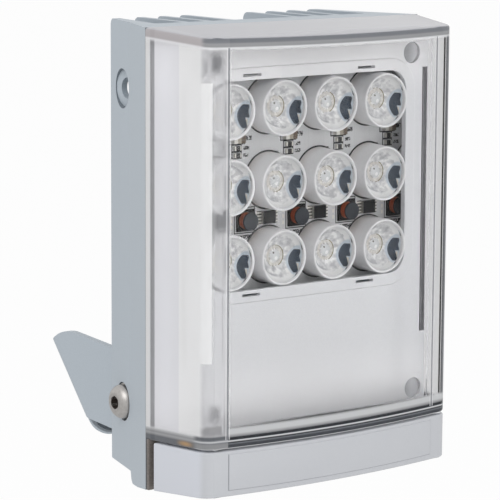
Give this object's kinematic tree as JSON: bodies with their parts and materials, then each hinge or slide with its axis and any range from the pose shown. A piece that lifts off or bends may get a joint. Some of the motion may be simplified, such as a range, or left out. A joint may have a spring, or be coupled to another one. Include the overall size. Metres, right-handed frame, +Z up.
{
  "type": "white light illuminator",
  "caption": "Outdoor white light lamp with a clear curved cover over a grid of lenses, a finned aluminium housing behind and a tilting U-shaped wall bracket.",
  "frame": {"origin": "centre of the bracket's wall face, on the axis of its middle hole", "axes": "+Z up along the upright lamp, -Y the way the lamp's front looks, +X across the lamp to the right as seen from the front; the bracket's wall face leans 41.7 degrees to the upright lamp"},
  "size_m": [0.1376, 0.1395, 0.1875],
  "materials": {
    "housing": "fine light grey powder coat",
    "clear_cover": "clear polished, frosted towards the sides",
    "clear_insert": "clear polished",
    "white_cap": "satin white",
    "white_bezel": "satin white",
    "holder_white": "satin white",
    "lens_clear": "clear polished",
    "emitter": "yellow phosphor under a clear dome",
    "board": "white solder mask",
    "thermal_sheet": "soft grey",
    "chip": "black moulded",
    "ferrite": "dark ferrite with a copper winding",
    "board_part": "mixed small chips",
    "terminal": "moulded",
    "gland_plastic": "grey nylon",
    "gasket_rubber": "black soft",
    "bracket_paint": "fine light grey powder coat",
    "stainless": "bright stainless",
    "nylon": "black nylon"
  },
  "bodies": {
    "bracket": {"mounting_bracket": "bracket_paint", "arm_nuts": "stainless", "pivot_screws": "stainless", "plain_washers": "stainless", "spring_washers": "stainless", "friction_washers": "nylon"},
    "lamp": {"heatsink_housing": "housing", "front_cover": "clear_cover", "diffuser_insert": "clear_insert", "lower_cap": "white_cap", "cover_gasket": "gasket_rubber", "bezel": "white_bezel", "circuit_board": "board", "thermal_sheet": "thermal_sheet", "light_emitters": "emitter", "driver_chips": "chip", "inductors": "ferrite", "resistor_stacks": "board_part", "terminal_block": "terminal", "bezel_screws": "stainless", "cover_screws": "stainless", "cap_screws": "stainless", "gland_body": "gland_plastic", "gland_nut": "gland_plastic", "gland_seal": "gasket_rubber", "breather_vent": "gland_plastic", "lens_1_1": "lens_clear", "lens_1_2": "lens_clear", "lens_1_3": "lens_clear", "lens_1_4": "lens_clear", "lens_2_1": "lens_clear", "lens_2_2": "lens_clear", "lens_2_3": "lens_clear", "lens_2_4": "lens_clear", "lens_3_1": "lens_clear", "lens_3_2": "lens_clear", "lens_3_3": "lens_clear", "lens_3_4": "lens_clear", "lens_holder_1_1": "holder_white", "lens_holder_1_2": "holder_white", "lens_holder_1_3": "holder_white", "lens_holder_1_4": "holder_white", "lens_holder_2_1": "holder_white", "lens_holder_2_2": "holder_white", "lens_holder_2_3": "holder_white", "lens_holder_2_4": "holder_white", "lens_holder_3_1": "holder_white", "lens_holder_3_2": "holder_white", "lens_holder_3_3": "holder_white", "lens_holder_3_4": "holder_white"}
  },
  "joints": [
    {"name": "tilt", "type": "hinge", "parent": "bracket", "child": "lamp", "pos_m": [0, -0.04795, 0.00857], "axis": [1, 0, 0], "range_deg": [-60, 50]}
  ]
}
